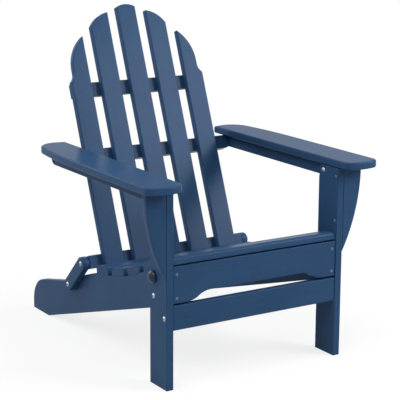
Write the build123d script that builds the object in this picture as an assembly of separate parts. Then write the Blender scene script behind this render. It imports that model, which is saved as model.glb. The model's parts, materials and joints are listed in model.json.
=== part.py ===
from build123d import *
from math import acos, atan2, cos, radians, sin, sqrt, tan
import os

os.makedirs("parts", exist_ok=True)

# Folding garden chair of solid plastic boards; millimetres, +Z up, the sitter faces -Y.
# Depths are counted rearward from the front edges of the legs and centred when a piece is saved.

# Boards
board = 22.0              # thickness of every flat board
bar = 38.0                # thickness of the two bars that carry pivot bolts
leg_width = 89.0
slat_width = 64.0         # back slats
slat_gap = 35.0
slat_round = 3.0
seat_slat_width = 88.5
seat_gap = 9.0
layer_gap = 0.5           # air between layers that turn past each other

# Distances from the centre line
seat_half = 269.5
leg_in = seat_half + layer_gap
leg_out = leg_in + board
rail_in = leg_out + layer_gap
rail_out = rail_in + board

# Fasteners
bolt_dia = 8.0
bolt_play = 0.05          # radial running clearance at a pivot
bolt_grip = 40.0          # depth of a bolt in the end of a bar
head_dia = 15.0
head_rise = 4.0
head_gap = 0.3            # under a head or nut that turns past its board
head_play = 0.4           # round a head that turns in a counterbore
head_drive = 5.0          # across the flats of the hexagon recess
nut_width = 13.0
nut_height = 6.5
screw_dia = 4.0
screw_grip = 14.0
screw_head_dia = 8.0
screw_head_rise = 1.2
screw_drive = 2.5
drive_share = 0.6         # depth of a recess against the rise of its head
screw_share = 0.25        # of a slat's width, from its middle to its screws
front_screw_share = 0.125
apron_screw_low = 14.5    # above the apron's lower edge
apron_screw_high = 22.0   # below its upper edge
arm_screw_count = 4

# Pivots, as depth and height
leg_pivot_y = 69.0
leg_pivot_z = 252.4
arm_pivot_z = 540.5
link_pivot_y = 586.6
link_pivot_z = 153.5

# Seat line, from the rear end of the seat forward
seat_rear_y = 439.0
seat_rear_z = 222.0
rear_slat_width = 78.0
front_slat_width = 78.0
first_slope = 7.5
slope_step = 6.4
nose_slope = 10.9
nose_round = 9.0

# Side rails of the seat
foot_front_y = 772.0
foot_rear_y = 878.0
foot_rise = 27.0
foot_round = 84.0
tail_slope = 12.8
tail_y = 648.0
tail_bow = 3.0
under_slope = 17.17
side_front_y = 24.5
nose_clear = 43.0         # reach of the side rail about the leg pivot, inside the stretcher's path

# Apron and stretcher
apron_front_y = 2.5
apron_low = 242.0
apron_top = 345.0
arch_rise = 24.0
arch_half = 150.0
arch_run = 76.0
stretcher_front_y = 2.0
stretcher_low = 167.0
stretcher_top = 236.5

# Arms
arm_top = 580.0
arm_in = 265.0
arm_out = 377.0
arm_front_y = -58.0
arm_rear_y = 642.0
arm_round = 5.0
arm_corner = 28.0
arm_bow = 12.0
arm_taper_y = 380.0
arm_taper = 13.0
arm_tail_y = 582.0
arm_tail_slope = 14.0
arm_tail_share = 0.8      # of the shorter side of the outer rear corner, taken up by its round
arm_drop = 1.5            # air over the leg tops
rail_height = 40.0
rail_start_y = 39.5
rail_end_y = 637.0
rail_round = 22.0

# Brackets under the arms
bracket_low = 310.0
bracket_reach = 61.0
bracket_bow = 16.0
bracket_screw_y = 9.0
bracket_screw_share = 0.38

# Back, in its own leaning plane
back_y = 363.1
back_tilt = 21.41
slat_low = 252.5
crown_top = 1043.0        # heights of the slats' tops, from the middle outward
crown_dip = 8.0
second_in = 1020.5
second_out = 978.0
second_bow = 8.7
outer_in = 950.0
ear_height = 808.0        # top of the back's straight outer edges
ear_reach = 14.0          # of the ears past the neck over them
ear_round = 8.3
ear_cove = 30.6
neck_rise = 12.0
lower_height = 38.0
middle_low = 565.0
middle_height = 41.0
middle_round = 14.0
upper_low = 767.0
upper_height = 43.0
upper_half = 222.0

# Links
link_half = 20.0
link_over = 18.5
link_round = 20.0

# Lock knobs
knob_lift = 54.6          # above the leg pivot
knob_dia = 36.0
knob_skirt = 5.0
knob_rise = 15.0
knob_socket = 9.0
stud_dia = 8.0
stud_play = 0.05

# Worked out from the sizes above
arm_low = arm_top - board
leg_top = arm_low - arm_drop
centre_y = (foot_rear_y + arm_front_y) / 2
slat_pitch = slat_width + slat_gap
back_half = 2 * slat_pitch + slat_width / 2
lean = radians(back_tilt)
knob_z = leg_pivot_z + knob_lift
pivot_hole = bolt_dia + 2 * bolt_play
sides = {"left": -1, "right": 1}
base = (Align.CENTER, Align.CENTER, Align.MIN)
below = (Align.CENTER, Align.CENTER, Align.MAX)


def save(shape, name):
    export_step(Pos(0, -centre_y, 0) * shape, "parts/" + name + ".step")


def group(shapes):
    return Compound(children=list(shapes))


# Right-hand piece, or its mirror image for the left
def handed(shape, side):
    return shape if side > 0 else mirror(shape, about=Plane.YZ)


# Board drawn in the side view, between two distances from the centre line
def side_board(outline, near, far):
    return Pos(near, 0, 0) * extrude(Plane.YZ * outline, far - near)


# Board drawn in the front view, its front face at the given depth
def front_board(outline, front):
    return Pos(0, front, 0) * extrude(Plane.XZ * outline, -board)


# Round bar lying across the chair
def across(y, z, dia, near, far):
    return Pos(near, y, z) * Rot(0, 90, 0) * Cylinder(dia / 2, far - near, align=base)


# Domed head standing on the origin
def dome(dia, rise):
    radius = (dia ** 2 / 4 + rise ** 2) / (2 * rise)
    return (Pos(0, 0, rise - radius) * Sphere(radius)) & Cylinder(dia / 2, rise, align=base)


# Such a head with a hexagon recess
def head(dia, rise, drive):
    hexagon = RegularPolygon(drive / 2, 6, major_radius=False)
    return dome(dia, rise) - Pos(0, 0, (1 - drive_share) * rise) * extrude(hexagon, rise)


# Bolt along the X axis with its head at one place and its tip at another
def bolt_across(y, z, head_at, tip_at):
    turn = 90 if head_at > tip_at else -90
    shank = Cylinder(bolt_dia / 2, abs(head_at - tip_at), align=below)
    shape = head(head_dia, head_rise, head_drive) + shank
    return Pos(head_at, y, z) * Rot(0, turn, 0) * shape


def nut_across(y, z, near, far):
    hexagon = RegularPolygon(nut_width / 2, 6, major_radius=False)
    return Pos(near, y, z) * extrude(Plane.YZ * hexagon, far - near) - across(y, z, bolt_dia, near, far)


# Screw pointing down from the origin, its low head standing on the origin
def screw(length):
    return head(screw_head_dia, screw_head_rise, screw_drive) + screw_hole(length)


def screw_hole(length):
    return Cylinder(screw_dia / 2, length, align=below)


# Seat line: knees of the side rail's upper edge and the slat standing on each run
slopes = [first_slope + slope_step * i for i in range(4)] + [nose_slope]
widths = [rear_slat_width] + 3 * [seat_slat_width] + [front_slat_width]
knees = [(seat_rear_y, seat_rear_z)]
spots = []
for i in range(5):
    rise = radians(slopes[i])
    lead = 0 if i == 0 else seat_gap / 2
    middle = lead + widths[i] / 2
    run = lead + widths[i] + seat_gap / 2
    y, z = knees[i]
    spots.append((y - middle * cos(rise), z + middle * sin(rise)))
    knees.append((y - run * cos(rise), z + run * sin(rise)))

# Seat screws, two at each end of each slat; those of the front slat clear the apron
seat_screws = []
seat_holes = []
screw_line = seat_half - board / 2
for i in range(5):
    for x in (-screw_line, screw_line):
        fore = front_screw_share if i == 4 else screw_share
        for along in (-fore * widths[i], screw_share * widths[i]):
            spot = Pos(x, *spots[i]) * Rot(-slopes[i], 0, 0) * Pos(0, along, board)
            seat_screws.append(spot * screw(board + screw_grip))
            seat_holes.append(spot * screw_hole(board + screw_grip))
seat_drill = group(seat_holes)
save(group(seat_screws), "seat_screws")

for i in range(5):
    nose = nose_round if i == 4 else slat_round
    section = Pos(0, board / 2) * Rectangle(widths[i], board)
    front = section.vertices().sort_by_distance((-widths[i] / 2, board))
    section = fillet(front[0], nose)
    rest = section.vertices().filter_by(lambda v: v.X > 0 or v.Y < slat_round)
    section = fillet(rest, slat_round)
    outline = Pos(*spots[i]) * Rot(0, 0, -slopes[i]) * section
    save(side_board(outline, -seat_half, seat_half) - seat_drill, "seat_slat_" + str(i + 1))

# Side rails of the seat, from the rear foot up to the apron
under = radians(under_slope)
tail = radians(tail_slope)


def under_height(y):
    return (foot_front_y - y) * tan(under)


heel_y = foot_rear_y - foot_round
top = (heel_y + foot_round * sin(tail), foot_rise + foot_round * cos(tail))
halfway = (radians(90) - tail) / 2
bend = (heel_y + foot_round * cos(halfway), foot_rise + foot_round * sin(halfway))
tail_end = (tail_y, top[1] + (top[0] - tail_y) * tan(tail))
hollow = ((tail_y + seat_rear_y) / 2, (tail_end[1] + seat_rear_z) / 2 + tail_bow)
drop = (leg_pivot_z - under_height(leg_pivot_y)) * cos(under)
chin_y = leg_pivot_y - drop * sin(under) - sqrt(nose_clear ** 2 - drop ** 2) * cos(under)
chin = (chin_y, under_height(chin_y))
brow = (side_front_y, knees[4][1] + (knees[4][0] - side_front_y) * tan(radians(nose_slope)))
jaw = (side_front_y, leg_pivot_z)
side_outline = make_face([
    Line((foot_front_y, 0), (foot_rear_y, 0)),
    Line((foot_rear_y, 0), (foot_rear_y, foot_rise)),
    ThreePointArc((foot_rear_y, foot_rise), bend, top),
    Line(top, tail_end),
    ThreePointArc(tail_end, hollow, knees[0]),
    Polyline(*knees[:5], brow, jaw, chin, (foot_front_y, 0)),
])

# Apron screws, two into the front end of each side rail
apron_screws = []
apron_holes = []
for x in (-screw_line, screw_line):
    for z in (apron_low + apron_screw_low, apron_top - apron_screw_high):
        spot = Pos(x, apron_front_y, z) * Rot(90, 0, 0)
        apron_screws.append(spot * screw(board + 2 * screw_grip))
        apron_holes.append(spot * screw_hole(board + 2 * screw_grip))
apron_drill = group(apron_holes)
save(group(apron_screws), "apron_screws")

side_inner = seat_half - board
for name, side in sides.items():
    rail = side_board(side_outline, side_inner, seat_half)
    rail -= across(leg_pivot_y, leg_pivot_z, bolt_dia, side_inner, seat_half)
    rail -= across(link_pivot_y, link_pivot_z, bolt_dia, side_inner, seat_half)
    rail -= across(leg_pivot_y, knob_z, stud_dia + 2 * stud_play, side_inner, seat_half)
    save(handed(rail, side) - apron_drill - seat_drill, "side_rail_" + name)

# Apron, with a long flat arch in its lower edge that ends in two soft curves
arch_end = arch_half + arch_run
arch_top = apron_low + arch_rise
turn = (arch_half + arch_run / 2, apron_low + arch_rise / 2)
apron_outline = make_face([
    Polyline((-arch_end, apron_low), (-seat_half, apron_low), (-seat_half, apron_top)),
    Line((-seat_half, apron_top), (seat_half, apron_top)),
    Polyline((seat_half, apron_top), (seat_half, apron_low), (arch_end, apron_low)),
    TangentArc((arch_end, apron_low), turn, tangent=(-1, 0)),
    TangentArc((arch_half, arch_top), turn, tangent=(1, 0)),
    Line((arch_half, arch_top), (-arch_half, arch_top)),
    TangentArc((-arch_half, arch_top), (-turn[0], turn[1]), tangent=(-1, 0)),
    TangentArc((-arch_end, apron_low), (-turn[0], turn[1]), tangent=(1, 0)),
])
save(front_board(apron_outline, apron_front_y) - apron_drill, "apron")

# Stretcher between the legs
stretcher_y = stretcher_front_y + board / 2
stretcher_z = (stretcher_low + stretcher_top) / 2
stretcher_tip = leg_in - bolt_grip
stretcher = Pos(0, stretcher_y, stretcher_z) * Box(2 * leg_in, board, stretcher_top - stretcher_low)
for side in (-1, 1):
    stretcher -= across(stretcher_y, stretcher_z, bolt_dia, *sorted((side * stretcher_tip, side * leg_in)))
save(stretcher, "stretcher")

# Legs, with the upper rear corner rounded about the arm pivot
crest = leg_top - arm_pivot_z
leg_outline = make_face([
    Polyline((leg_pivot_y, leg_top), (0, leg_top), (0, 0), (leg_width, 0), (leg_width, arm_pivot_z - board)),
    Line((leg_width, arm_pivot_z - board), (leg_pivot_y + crest, arm_pivot_z)),
    TangentArc((leg_pivot_y, leg_top), (leg_pivot_y + crest, arm_pivot_z), tangent=(1, 0)),
])
bracket_heights = (arm_pivot_z - screw_head_dia, bracket_low + bracket_screw_share * (leg_top - bracket_low))
bracket_screws = []
for name, side in sides.items():
    leg = side_board(leg_outline, leg_in, leg_out)
    leg -= across(leg_pivot_y, leg_pivot_z, pivot_hole, leg_in, leg_out)
    leg -= across(leg_pivot_y, arm_pivot_z, bolt_dia, leg_in, leg_out)
    leg -= across(leg_pivot_y, knob_z, stud_dia + 2 * stud_play, leg_in, leg_out)
    leg -= across(stretcher_y, stretcher_z, bolt_dia, leg_in, leg_out)
    shoulder = (leg_out + bracket_reach, leg_top)
    fall = leg_top - bracket_low
    chord = sqrt(bracket_reach ** 2 + fall ** 2)
    belly = (leg_out + bracket_reach / 2 + bracket_bow * fall / chord,
             bracket_low + fall / 2 - bracket_bow * bracket_reach / chord)
    bracket = front_board(make_face([
        Polyline((leg_out, bracket_low), (leg_out, leg_top), shoulder),
        ThreePointArc(shoulder, belly, (leg_out, bracket_low)),
    ]), 0)
    for z in bracket_heights:
        spot = Pos(leg_in, bracket_screw_y, z) * Rot(0, -90, 0)
        leg -= spot * screw_hole(board + screw_grip)
        bracket -= spot * screw_hole(board + screw_grip)
        bracket_screws.append(handed(spot * screw(board + screw_grip), side))
    save(handed(leg, side), "leg_" + name)
    save(handed(bracket, side), "bracket_" + name)
save(group(bracket_screws), "bracket_screws")

# Arms and the rails under them
taper_turn = 2 * atan2(arm_taper, arm_tail_y - arm_taper_y)
arm_nose = arm_front_y + arm_bow
tail_turn = radians(arm_tail_slope)
tail_width = arm_out - arm_taper - arm_in
tail_depth = arm_rear_y - arm_tail_y
tail_run = (tail_width * cos(taper_turn) - tail_depth * sin(taper_turn)) / cos(tail_turn - taper_turn)
tail_side = (tail_run * sin(tail_turn) + tail_depth) / cos(taper_turn)
tail_corner = (arm_in + tail_run * cos(tail_turn), arm_rear_y + tail_run * sin(tail_turn))
tail_round = arm_tail_share * min(tail_run, tail_side) * tan(radians(45) - (tail_turn - taper_turn) / 2)
arm_outline = make_face([
    Polyline(tail_corner, (arm_in, arm_rear_y), (arm_in, arm_nose)),
    ThreePointArc((arm_in, arm_nose), ((arm_in + arm_out) / 2, arm_front_y), (arm_out, arm_nose)),
    Line((arm_out, arm_nose), (arm_out, arm_taper_y)),
    TangentArc((arm_out, arm_taper_y), (arm_out - arm_taper, arm_tail_y), tangent=(0, 1)),
    Line((arm_out - arm_taper, arm_tail_y), tail_corner),
])
arm_outline = fillet(arm_outline.vertices().sort_by_distance(tail_corner)[0], tail_round)
arm_outline = fillet(arm_outline.vertices().sort_by(Axis.Y)[:2], arm_corner)
arm_blank = Pos(0, 0, arm_low) * extrude(arm_outline, board)
rims = arm_blank.faces().sort_by(Axis.Z)
arm_blank = fillet(rims[0].edges() + rims[-1].edges(), arm_round)
rail_low = arm_low - rail_height
rail_length = rail_end_y - rail_start_y
rail_middle = Pos(rail_start_y + rail_length / 2, arm_low - rail_height / 2)
rail_rect = rail_middle * Rectangle(rail_length, rail_height)
rail_outline = fillet(rail_rect.vertices().sort_by(Axis.Y)[:2], rail_round)

# Leaning plane of the back: across, up the slats, and forward out of them
lean_plane = Plane(origin=(0, back_y, 0), x_dir=(1, 0, 0), z_dir=(0, -cos(lean), sin(lean)))


def back_spot(up, deep):
    return (back_y + up * sin(lean) + deep * cos(lean), up * cos(lean) - deep * sin(lean))


middle_up = middle_low + middle_height / 2
lower_up = slat_low + lower_height / 2
arm_end = back_spot(middle_up, board + bar / 2)
link_end = back_spot(lower_up, board + bar / 2)

screw_rise = rail_height + screw_grip
arm_screw_step = (arm_end[0] - leg_pivot_y) / (arm_screw_count + 1)
for name, side in sides.items():
    arm = arm_blank
    rail = side_board(rail_outline, rail_in, rail_out)
    rail -= across(leg_pivot_y, arm_pivot_z, pivot_hole, rail_in, rail_out)
    rail -= across(*arm_end, pivot_hole, rail_in, rail_out)
    rail -= across(*arm_end, head_dia + 2 * head_play, rail_out - head_rise - head_gap, rail_out)
    screws = []
    for i in range(1, arm_screw_count + 1):
        spot = Pos((rail_in + rail_out) / 2, leg_pivot_y + i * arm_screw_step, rail_low) * Rot(180, 0, 0)
        rail -= spot * screw_hole(screw_rise)
        arm -= spot * screw_hole(screw_rise)
        screws.append(handed(spot * screw(screw_rise), side))
    save(handed(arm, side), "arm_" + name)
    save(handed(rail, side), "arm_rail_" + name)
    save(group(screws), "arm_screws_" + name)


# Board of the back: outline in the leaning plane, between two depths behind its front
def back_board(outline, near, far):
    return extrude(lean_plane * Pos(0, 0, -far) * outline, far - near)


# Screws through the braces into the slats, two at each crossing
braces = {
    "upper": (upper_low, upper_height, upper_half, board),
    "middle": (middle_low, middle_height, rail_in - layer_gap, bar),
    "lower": (slat_low, lower_height, seat_half, bar),
}
back_screws = []
back_holes = []
for low, height, half, deep in braces.values():
    for i in range(-2, 3):
        for x in (-screw_share * slat_width, screw_share * slat_width):
            spot = lean_plane * Pos(i * slat_pitch + x, low + height / 2, -board - deep) * Rot(180, 0, 0)
            back_screws.append(spot * screw(deep + screw_grip))
            back_holes.append(spot * screw_hole(deep + screw_grip))
back_drill = group(back_holes)
save(group(back_screws), "back_screws")

# Tops of the slats, drawn from the outer end inward for the middle one and the two to its right
half = slat_width / 2
second = (slat_pitch - half, slat_pitch + half)
second_fall = second_in - second_out
second_chord = sqrt(slat_width ** 2 + second_fall ** 2)
second_crest = (slat_pitch + second_bow * second_fall / second_chord,
                second_out + second_fall / 2 + second_bow * slat_width / second_chord)
ear_turn = acos(1 - ear_reach / (ear_round + ear_cove))
ear_tip = (back_half - ear_round * (1 - cos(ear_turn)), ear_height + ear_round * sin(ear_turn))
neck_half = back_half - ear_reach
neck_low = ear_height + (ear_round + ear_cove) * sin(ear_turn)
neck_top = neck_low + neck_rise
tops = [
    [ThreePointArc((half, crown_top - crown_dip), (0, crown_top), (-half, crown_top - crown_dip))],
    [ThreePointArc((second[1], second_out), second_crest, (second[0], second_in))],
    [
        TangentArc((back_half, ear_height), ear_tip, tangent=(0, 1)),
        TangentArc((neck_half, neck_low), ear_tip, tangent=(0, -1)),
        Line((neck_half, neck_low), (neck_half, neck_top)),
        TangentArc((neck_half, neck_top), (back_half - slat_width, outer_in), tangent=(0, 1)),
    ],
]
for i in range(5):
    place = abs(i - 2)
    outer = (place * slat_pitch + half, (crown_top - crown_dip, second_out, ear_height)[place])
    inner = (place * slat_pitch - half, (crown_top - crown_dip, second_in, outer_in)[place])
    outline = make_face([Polyline(inner, (inner[0], slat_low), (outer[0], slat_low), outer)] + tops[place])
    blank = extrude(outline, board)
    rims = blank.faces().sort_by(Axis.Z)
    slat = lean_plane * Pos(0, 0, -board) * fillet(rims[0].edges() + rims[-1].edges(), slat_round)
    save(handed(slat, i - 1.5) - back_drill, "back_slat_" + str(i + 1))

# Braces behind the slats
for name, (low, height, half, deep) in braces.items():
    outline = Pos(0, low + height / 2) * Rectangle(2 * half, height)
    if name == "middle":
        outline = fillet(outline.vertices().sort_by(Axis.Y)[:2], middle_round)
    brace = back_board(outline, board, board + deep)
    for side in (-1, 1):
        if name == "middle":
            brace -= across(*arm_end, bolt_dia, *sorted((side * half, side * (half - bolt_grip))))
        if name == "lower":
            brace -= across(*link_end, pivot_hole, *sorted((side * half, side * (half - bolt_grip))))
    save(brace - back_drill, "brace_" + name)

# Links between the side rails and the lower brace: leaning bars cut level, sharp tips rounded
reach = (link_end[0] - link_pivot_y, link_end[1] - link_pivot_z)
slant = atan2(reach[1], reach[0])


def link_corner(level, offset):
    along = (level - link_pivot_z + offset * cos(slant)) / sin(slant)
    return (link_pivot_y + along * cos(slant) + offset * sin(slant), level)


high = link_end[1] + link_over
low = link_pivot_z - link_over
link_outline = make_face(Polyline(
    link_corner(low, link_half), link_corner(high, link_half),
    link_corner(high, -link_half), link_corner(low, -link_half), close=True))
tips = [link_corner(high, -link_half), link_corner(low, link_half)]
for tip in tips:
    link_outline = fillet(link_outline.vertices().sort_by_distance(tip)[0], link_round)
for name, side in sides.items():
    link = side_board(link_outline, leg_in, leg_out)
    link -= across(link_pivot_y, link_pivot_z, pivot_hole, leg_in, leg_out)
    link -= across(*link_end, bolt_dia, leg_in, leg_out)
    save(handed(link, side), "link_" + name)
    save(handed(bolt_across(*link_end, leg_out, leg_in), side), "link_bolt_" + name)

# Bolts and nuts
leg_bolt = bolt_across(leg_pivot_y, leg_pivot_z, leg_out + head_gap, side_inner - nut_height)
leg_nut = nut_across(leg_pivot_y, leg_pivot_z, side_inner - nut_height, side_inner)
link_bolt = bolt_across(link_pivot_y, link_pivot_z, leg_out + head_gap, side_inner - nut_height)
link_nut = nut_across(link_pivot_y, link_pivot_z, side_inner - nut_height, side_inner)
arm_bolt = bolt_across(leg_pivot_y, arm_pivot_z, leg_in, rail_out + head_gap + nut_height)
arm_nut = nut_across(leg_pivot_y, arm_pivot_z, rail_out + head_gap, rail_out + head_gap + nut_height)
back_bolt = bolt_across(*arm_end, rail_out - head_rise, rail_in - layer_gap - bolt_grip)
stretcher_bolt = bolt_across(stretcher_y, stretcher_z, leg_out, stretcher_tip)
fasteners = {
    "leg_pivot_bolts": leg_bolt,
    "leg_pivot_nuts": leg_nut,
    "link_pivot_bolts": link_bolt,
    "link_pivot_nuts": link_nut,
    "arm_pivot_bolts": arm_bolt,
    "arm_pivot_nuts": arm_nut,
    "back_pivot_bolts": back_bolt,
    "stretcher_bolts": stretcher_bolt,
}
for name, shape in fasteners.items():
    save(group(handed(shape, side) for side in (-1, 1)), name)

# Lock knobs on the outer faces of the legs
knob_at = leg_out + head_gap
skirt = Cylinder(knob_dia / 2, knob_skirt, align=base)
cap = skirt + Pos(0, 0, knob_skirt) * dome(knob_dia, knob_rise - knob_skirt)
cap -= Cylinder(stud_dia / 2, knob_socket, align=base)
stud = Cylinder(stud_dia / 2, board + head_gap + knob_socket, align=base)
for name, side in sides.items():
    save(handed(Pos(knob_at, leg_pivot_y, knob_z) * Rot(0, 90, 0) * cap, side), "knob_" + name)
    save(handed(Pos(leg_in, leg_pivot_y, knob_z) * Rot(0, 90, 0) * stud, side), "knob_stud_" + name)
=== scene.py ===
import json
import math
import bmesh
import bpy
from mathutils import Matrix, Vector


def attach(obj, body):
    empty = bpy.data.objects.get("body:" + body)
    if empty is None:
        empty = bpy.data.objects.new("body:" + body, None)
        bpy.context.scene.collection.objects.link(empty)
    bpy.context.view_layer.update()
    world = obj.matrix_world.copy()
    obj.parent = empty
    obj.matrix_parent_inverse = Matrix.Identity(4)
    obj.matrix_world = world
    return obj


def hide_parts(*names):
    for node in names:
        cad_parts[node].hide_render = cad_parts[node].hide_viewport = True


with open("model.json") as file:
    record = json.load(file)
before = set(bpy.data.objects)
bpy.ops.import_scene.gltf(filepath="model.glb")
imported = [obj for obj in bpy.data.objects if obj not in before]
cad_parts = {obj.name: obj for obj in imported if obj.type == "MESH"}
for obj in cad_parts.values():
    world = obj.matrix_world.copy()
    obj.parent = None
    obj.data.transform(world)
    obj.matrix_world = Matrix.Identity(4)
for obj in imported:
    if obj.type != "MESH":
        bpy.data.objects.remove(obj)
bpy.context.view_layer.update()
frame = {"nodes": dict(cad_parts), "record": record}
nodes = frame["nodes"]
print("chair loaded,", len(nodes), "pieces")


def addObject(name, data):
    thing = bpy.data.objects.new(name, data)
    bpy.context.scene.collection.objects.link(thing)
    return thing


# shader nodes
def newMaterial(name):
    mat = bpy.data.materials.new(name)
    mat.use_nodes = True
    tree = mat.node_tree
    return mat, tree, tree.nodes["Principled BSDF"]


def addNode(tree, kind, **values):
    node = tree.nodes.new(kind)
    for key, value in values.items():
        setattr(node, key, value)
    return node


def link(tree, source, target):
    tree.links.new(source, target)


def ownPlace(tree):
    return addNode(tree, "ShaderNodeTexCoord").outputs["Object"]


def noise(tree, vector, grain):
    node = addNode(tree, "ShaderNodeTexNoise")
    node.inputs["Scale"].default_value = grain["scale"]
    node.inputs["Detail"].default_value = grain["octaves"]
    node.inputs["Roughness"].default_value = grain["roughness"]
    link(tree, vector, node.inputs["Vector"])
    return node.outputs["Fac"]


def mapRange(tree, value, source, target=(0, 1)):
    node = addNode(tree, "ShaderNodeMapRange")
    for key, number in zip(("From Min", "From Max", "To Min", "To Max"), (*source, *target)):
        node.inputs[key].default_value = number
    link(tree, value, node.inputs["Value"])
    return node.outputs["Result"]


def maths(tree, operation, first, second):
    node = addNode(tree, "ShaderNodeMath", operation=operation)
    for slot, value in enumerate((first, second)):
        if isinstance(value, (int, float)):
            node.inputs[slot].default_value = value
        else:
            link(tree, value, node.inputs[slot])
    return node.outputs["Value"]


def blendNoise(tree, first, second, share):
    kept = maths(tree, "MULTIPLY", first, 1 - share)
    added = maths(tree, "MULTIPLY", second, share)
    return maths(tree, "ADD", kept, added)


def mixColour(tree, factor, dark, light):
    node = addNode(tree, "ShaderNodeMix", data_type="RGBA")
    node.inputs["A"].default_value = (*dark, 1)
    node.inputs["B"].default_value = (*light, 1)
    link(tree, factor, node.inputs["Factor"])
    return node.outputs["Result"]


def bump(tree, height, relief, shader):
    node = addNode(tree, "ShaderNodeBump")
    node.inputs["Strength"].default_value = relief["strength"]
    node.inputs["Distance"].default_value = relief["depth"]
    link(tree, height, node.inputs["Height"])
    link(tree, node.outputs["Normal"], shader.inputs["Normal"])


# middle stretch of a noise that a finish is spread over
spans = {
    "boardColour": (0.33, 0.67),
    "metalColour": (0.3, 0.7),
    "skinColour": (0.35, 0.65),
    "gloss": (0.3, 0.7),
}

# plastic lumber: navy through and through, drawn streaks along the board, fine pebble over them
lumber = {
    "dark": (0.0195, 0.0560, 0.1270),
    "light": (0.0310, 0.0790, 0.1700),
    "length": 9.0,               # metres of lumber that the boards are cut from
    "streak": {"along": 12, "across": 240, "scale": 1, "octaves": 5, "roughness": 0.6},   # per metre
    "pebble": {"along": 230, "across": 460, "scale": 1, "octaves": 3, "roughness": 0.55},
    "cloud": {"scale": 5, "octaves": 2, "roughness": 0.5},
    "pebbleShare": 0.6,          # the rest of the fleck is streak
    "cloudShare": 0.3,           # the rest of the tone is fleck
    "gloss": (0.28, 0.42),       # roughness from the smooth streaks to the dull ones
    "relief": {"strength": 0.5, "depth": 0.0005},
    "specular": 0.03,
    "skin": 0.06,                # share of the smooth drawn skin, which keeps a sharper light
    "skinGloss": 0.17,
}
backLean = math.radians(21.41)
grains = {                       # the way that each board was drawn, and the pieces that are cut so
    "uprightBoard": {"along": (0, 0, 1), "pieces": ("leg_", "bracket_")},
    "crossBoard": {"along": (1, 0, 0), "pieces": ("apron", "stretcher", "brace_", "seat_slat_")},
    "armBoard": {"along": (0, 1, 0), "pieces": ("arm_",)},
    "backBoard": {"along": (0, math.sin(backLean), math.cos(backLean)), "pieces": ("back_slat_",)},
    "sideBoard": {"along": (0, 0.955, -0.295), "pieces": ("side_rail_",)},    # down to the rear foot
    "linkBoard": {"along": (0, 0.715, -0.699), "pieces": ("link_",)},         # down from the back
}


def lumberMaterial(name, along):
    mat, tree, shader = newMaterial(name)
    chance = addNode(tree, "ShaderNodeObjectInfo").outputs["Random"]
    start = maths(tree, "MULTIPLY", chance, lumber["length"])   # each board from its own place
    shifted = addNode(tree, "ShaderNodeVectorMath", operation="ADD")
    link(tree, ownPlace(tree), shifted.inputs[0])
    link(tree, start, shifted.inputs[1])
    turned = addNode(tree, "ShaderNodeMapping")
    turn = Vector(along).rotation_difference(Vector((1, 0, 0)))
    turned.inputs["Rotation"].default_value = turn.to_euler()
    link(tree, shifted.outputs["Vector"], turned.inputs["Vector"])

    def drawnNoise(grain):
        drawn = addNode(tree, "ShaderNodeVectorMath", operation="MULTIPLY")
        link(tree, turned.outputs["Vector"], drawn.inputs[0])
        drawn.inputs[1].default_value = (grain["along"], grain["across"], grain["across"])
        return noise(tree, drawn.outputs["Vector"], grain)

    streak = drawnNoise(lumber["streak"])
    pebble = drawnNoise(lumber["pebble"])
    cloud = noise(tree, shifted.outputs["Vector"], lumber["cloud"])
    fleck = blendNoise(tree, streak, pebble, lumber["pebbleShare"])
    tone = blendNoise(tree, fleck, cloud, lumber["cloudShare"])
    colour = mixColour(tree, mapRange(tree, tone, spans["boardColour"]), lumber["dark"], lumber["light"])
    link(tree, colour, shader.inputs["Base Color"])
    link(tree, mapRange(tree, fleck, spans["gloss"], lumber["gloss"]), shader.inputs["Roughness"])
    shader.inputs["Specular IOR Level"].default_value = lumber["specular"]
    shader.inputs["Coat Weight"].default_value = lumber["skin"]
    shader.inputs["Coat Roughness"].default_value = lumber["skinGloss"]
    bump(tree, fleck, lumber["relief"], shader)
    return mat


# stainless bolts: satin with faint turning marks
steel = {
    "dark": (0.20, 0.23, 0.26),
    "light": (0.36, 0.39, 0.42),
    "mark": {"scale": 2600, "octaves": 3, "roughness": 0.5},     # per metre
    "cloud": {"scale": 240, "octaves": 2, "roughness": 0.5},
    "gloss": (0.22, 0.36),
    "relief": {"strength": 0.3, "depth": 0.00004},
}


def steelMaterial():
    mat, tree, shader = newMaterial("satinSteel")
    place = ownPlace(tree)
    mark = noise(tree, place, steel["mark"])
    cloud = noise(tree, place, steel["cloud"])
    colour = mixColour(tree, mapRange(tree, cloud, spans["metalColour"]), steel["dark"], steel["light"])
    link(tree, colour, shader.inputs["Base Color"])
    link(tree, mapRange(tree, mark, spans["gloss"], steel["gloss"]), shader.inputs["Roughness"])
    shader.inputs["Metallic"].default_value = 1
    bump(tree, mark, steel["relief"], shader)
    return mat


# screws coated to match the boards
coated = {
    "dark": (0.080, 0.135, 0.205),
    "light": (0.130, 0.195, 0.280),
    "speck": {"scale": 1500, "octaves": 3, "roughness": 0.5},
    "gloss": (0.30, 0.44),
    "relief": {"strength": 0.3, "depth": 0.00005},
    "specular": 0.3,
}

# lock knobs: dark moulded plastic
moulded = {
    "dark": (0.008, 0.022, 0.055),
    "light": (0.014, 0.034, 0.078),
    "speck": {"scale": 900, "octaves": 3, "roughness": 0.5},
    "gloss": (0.18, 0.28),
    "relief": {"strength": 0.35, "depth": 0.00008},
    "specular": 0.2,
}


def skinMaterial(name, skin):
    mat, tree, shader = newMaterial(name)
    speck = noise(tree, ownPlace(tree), skin["speck"])
    colour = mixColour(tree, mapRange(tree, speck, spans["skinColour"]), skin["dark"], skin["light"])
    link(tree, colour, shader.inputs["Base Color"])
    link(tree, mapRange(tree, speck, spans["gloss"], skin["gloss"]), shader.inputs["Roughness"])
    shader.inputs["Specular IOR Level"].default_value = skin["specular"]
    bump(tree, speck, skin["relief"], shader)
    return mat


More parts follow.
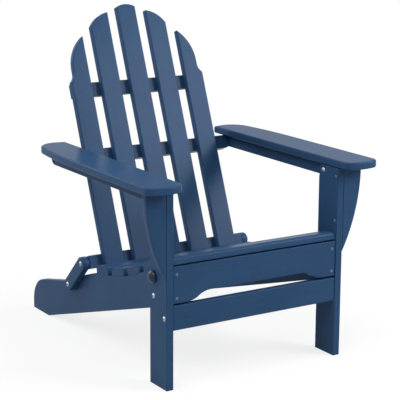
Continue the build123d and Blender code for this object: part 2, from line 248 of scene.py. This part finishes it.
slotOf = {part["node"]: part["material_slot"] for part in frame["record"]["subparts"]}
boardFinish = {name: lumberMaterial(name, grain["along"]) for name, grain in grains.items()}
smallFinish = {
    "steel": steelMaterial(),
    "screw": skinMaterial("coatedScrew", coated),
    "knob": skinMaterial("mouldedKnob", moulded),
}

# eased edges of the boards
edges = {
    "width": 0.0019,             # at a screw hole it stays under the head
    "wide": {"bracket_": 0.0022, "stretcher": 0.0028, "link_": 0.0024},
    "segments": 3,
    "corner": 35,                # degrees: an edge sharper than this is eased
    "flat": 0.4,                 # degrees: faces nearer than this are one face
    "weld": 0.00001,             # metres: points nearer than this are one point
    "roundAlready": ("back_slat_", "seat_slat_", "arm_left", "arm_right"),   # rounded in their solids
}


def boardGrain(node):
    return next(name for name, grain in grains.items() if node.startswith(grain["pieces"]))


def edgeWidth(node):
    wide = [width for start, width in edges["wide"].items() if node.startswith(start)]
    return wide[0] if wide else edges["width"]


def easeEdges(piece):
    weld = piece.modifiers.new("weld", "WELD")
    weld.merge_threshold = edges["weld"]
    flat = piece.modifiers.new("flat", "DECIMATE")
    flat.decimate_type = "DISSOLVE"
    flat.angle_limit = math.radians(edges["flat"])
    ease = piece.modifiers.new("ease", "BEVEL")
    ease.width = edgeWidth(piece.name)
    ease.segments = edges["segments"]
    ease.limit_method = "ANGLE"
    ease.angle_limit = math.radians(edges["corner"])
    ease.use_clamp_overlap = False   # the short sides of the round holes would shrink it to nothing
    ease.loop_slide = False          # sliding along a seam would fold the face round a hole
    ease.harden_normals = True


for name, piece in nodes.items():
    isBoard = slotOf[name] == "board"
    piece.data.materials.clear()
    piece.data.materials.append(boardFinish[boardGrain(name)] if isBoard else smallFinish[slotOf[name]])
    if isBoard and not name.startswith(edges["roundAlready"]):
        easeEdges(piece)
print("finishes on", len(nodes), "pieces")

# seat slats: narrower than their solids, with the wide gaps that the photograph shows at their ends
seatSlats = {
    "count": 5,
    "trim": 0.009,               # off each side that faces a gap
    "middle": 0.0255,            # nearer the middle than this are the screw holes, which stay
    "seam": 0.0001,              # points this near the cut stay with the middle
    "endSlope": 0.01,            # faces that point further along the slat than this are its ends
}


def slatFrame(mesh):
    sides = [face for face in mesh.polygons if abs(face.normal.x) < seatSlats["endSlope"]]
    broad = max(sides, key=lambda face: face.area)
    up = broad.normal if broad.normal.z > 0 else -broad.normal
    across = Vector((0, -up.z, up.y))                     # towards the front
    reach = [vertex.co.dot(across) for vertex in mesh.vertices]
    return across, (min(reach) + max(reach)) / 2


def trimSide(shape, across, centre):
    cut = centre + seatSlats["middle"]
    everything = [*shape.verts, *shape.edges, *shape.faces]
    bmesh.ops.bisect_plane(
        shape, geom=everything, dist=edges["weld"], plane_co=across * cut, plane_no=across)
    for vertex in shape.verts:
        if vertex.co.dot(across) > cut + seatSlats["seam"]:
            vertex.co -= across * seatSlats["trim"]


def trimSlat(number):
    node = f"seat_slat_{number}"
    mesh = nodes[node].data.copy()
    across, centre = slatFrame(mesh)
    mesh.attributes.remove(mesh.attributes["custom_normal"])   # the old ones don't fit the trimmed sides
    shape = bmesh.new()
    shape.from_mesh(mesh)
    bmesh.ops.remove_doubles(shape, verts=shape.verts, dist=edges["weld"])
    if number < seatSlats["count"]:
        trimSide(shape, across, centre)
    if number > 1:
        trimSide(shape, -across, -centre)
    shape.to_mesh(mesh)
    shape.free()
    mesh.set_sharp_from_angle(angle=math.radians(edges["corner"]))
    slat = addObject(f"seatSlat{number}", mesh)
    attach(slat, "seat_frame")
    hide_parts(node)


for number in range(1, seatSlats["count"] + 1):
    trimSlat(number)
print("seat slats trimmed")

# floor that fades into the white ground, and keeps the chair's shadow
ground = {
    "half": 30.0,
    "colour": (0.66, 0.66, 0.66, 1),
    "fade": (0.7, 2.0),          # metres from the middle of the chair
    "lift": (0.66, 1),           # share of plain white, near the chair and far from it
    "glow": (1.19, 1),           # strength of that white
}


def seenRay(tree):
    path = addNode(tree, "ShaderNodeLightPath")
    seen = maths(tree, "MAXIMUM", path.outputs["Is Camera Ray"], path.outputs["Is Glossy Ray"])
    return maths(tree, "MAXIMUM", seen, path.outputs["Is Transmission Ray"])


def floorMaterial():
    mat = bpy.data.materials.new("paleFloor")
    mat.use_nodes = True
    tree = mat.node_tree
    tree.nodes.clear()
    paint = addNode(tree, "ShaderNodeBsdfDiffuse")
    paint.inputs["Color"].default_value = ground["colour"]
    away = addNode(tree, "ShaderNodeVectorMath", operation="LENGTH")
    link(tree, ownPlace(tree), away.inputs[0])
    lift = mapRange(tree, away.outputs["Value"], ground["fade"], ground["lift"])
    white = mapRange(tree, away.outputs["Value"], ground["fade"], ground["glow"])
    glow = addNode(tree, "ShaderNodeEmission")
    link(tree, white, glow.inputs["Strength"])
    blend = addNode(tree, "ShaderNodeMixShader")
    link(tree, maths(tree, "MULTIPLY", lift, seenRay(tree)), blend.inputs["Fac"])
    link(tree, paint.outputs["BSDF"], blend.inputs[1])
    link(tree, glow.outputs["Emission"], blend.inputs[2])
    out = addNode(tree, "ShaderNodeOutputMaterial")
    link(tree, blend.outputs["Shader"], out.inputs["Surface"])
    return mat


def makeFloor():
    mesh = bpy.data.meshes.new("floor")
    half = ground["half"]
    corners = [(-half, -half, 0), (half, -half, 0), (half, half, 0), (-half, half, 0)]
    mesh.from_pydata(corners, [], [(0, 1, 2, 3)])
    mesh.materials.append(floorMaterial())
    return addObject("floor", mesh)


makeFloor()
print("floor laid")

# white studio: strong lamps from the right, weaker ones from the left and overhead, one behind
studio = {
    "ambient": 0.05,             # what the white world lights the chair with
    "white": 1.0,                # what shows behind it
    "aim": (0, 0, 0.45),
}
lamps = {
    "rightKey": {"at": (3.2, -1.2, 2.0), "aim": studio["aim"], "size": 2.0, "power": 52},
    "frontRight": {"at": (2.2, -2.55, 2.25), "aim": studio["aim"], "size": 1.5, "power": 83},
    "leftFill": {"at": (-3.0, -0.8, 2.7), "aim": studio["aim"], "size": 2.0, "power": 43},
    "frontLeft": {"at": (-2.2, -2.2, 2.8), "aim": studio["aim"], "size": 1.0, "power": 20},
    "overhead": {"at": (-0.3, -0.6, 3.2), "aim": (0, 0.05, 0.4), "size": 2.6, "power": 24},
    "behind": {"at": (-1.9, 2.6, 2.2), "aim": studio["aim"], "size": 2.4, "power": 66},
}


def makeWorld():
    world = bpy.data.worlds.new("studio")
    bpy.context.scene.world = world
    world.use_nodes = True
    tree = world.node_tree
    shade = tree.nodes["Background"]
    shade.inputs["Color"].default_value = (1, 1, 1, 1)
    strength = mapRange(tree, seenRay(tree), (0, 1), (studio["ambient"], studio["white"]))
    link(tree, strength, shade.inputs["Strength"])


def makeLamp(name, setup):
    data = bpy.data.lights.new(name, "AREA")
    data.size = setup["size"]
    data.energy = setup["power"]
    lamp = addObject(name, data)
    lamp.location = setup["at"]
    towards = Vector(setup["aim"]) - Vector(setup["at"])
    lamp.rotation_euler = towards.to_track_quat("-Z", "Y").to_euler()


makeWorld()
for name, setup in lamps.items():
    makeLamp(name, setup)
print("studio lit")

# camera at the photograph's place
viewpoint = {
    "at": (-2.1028, -3.4732, 1.3573),
    "yaw": 32.25,
    "pitch": -13.0,
    "roll": 0.36,
    "lens": 125.71,              # millimetres, on the sensor below
    "sensor": 36,
    "shift": (-0.0149, -0.0036),
}


def makeCamera():
    data = bpy.data.cameras.new("camera")
    data.sensor_width = viewpoint["sensor"]
    data.lens = viewpoint["lens"]
    data.shift_x, data.shift_y = viewpoint["shift"]
    camera = addObject("camera", data)
    yaw, pitch, roll = (math.radians(viewpoint[key]) for key in ("yaw", "pitch", "roll"))
    level = Matrix.Rotation(-yaw, 4, "Z") @ Matrix.Rotation(math.pi / 2 + pitch, 4, "X")
    turn = level @ Matrix.Rotation(roll, 4, "Z")
    camera.matrix_world = Matrix.Translation(viewpoint["at"]) @ turn
    bpy.context.scene.camera = camera


makeCamera()
bpy.context.scene.view_settings.view_transform = "Standard"
print("camera set")
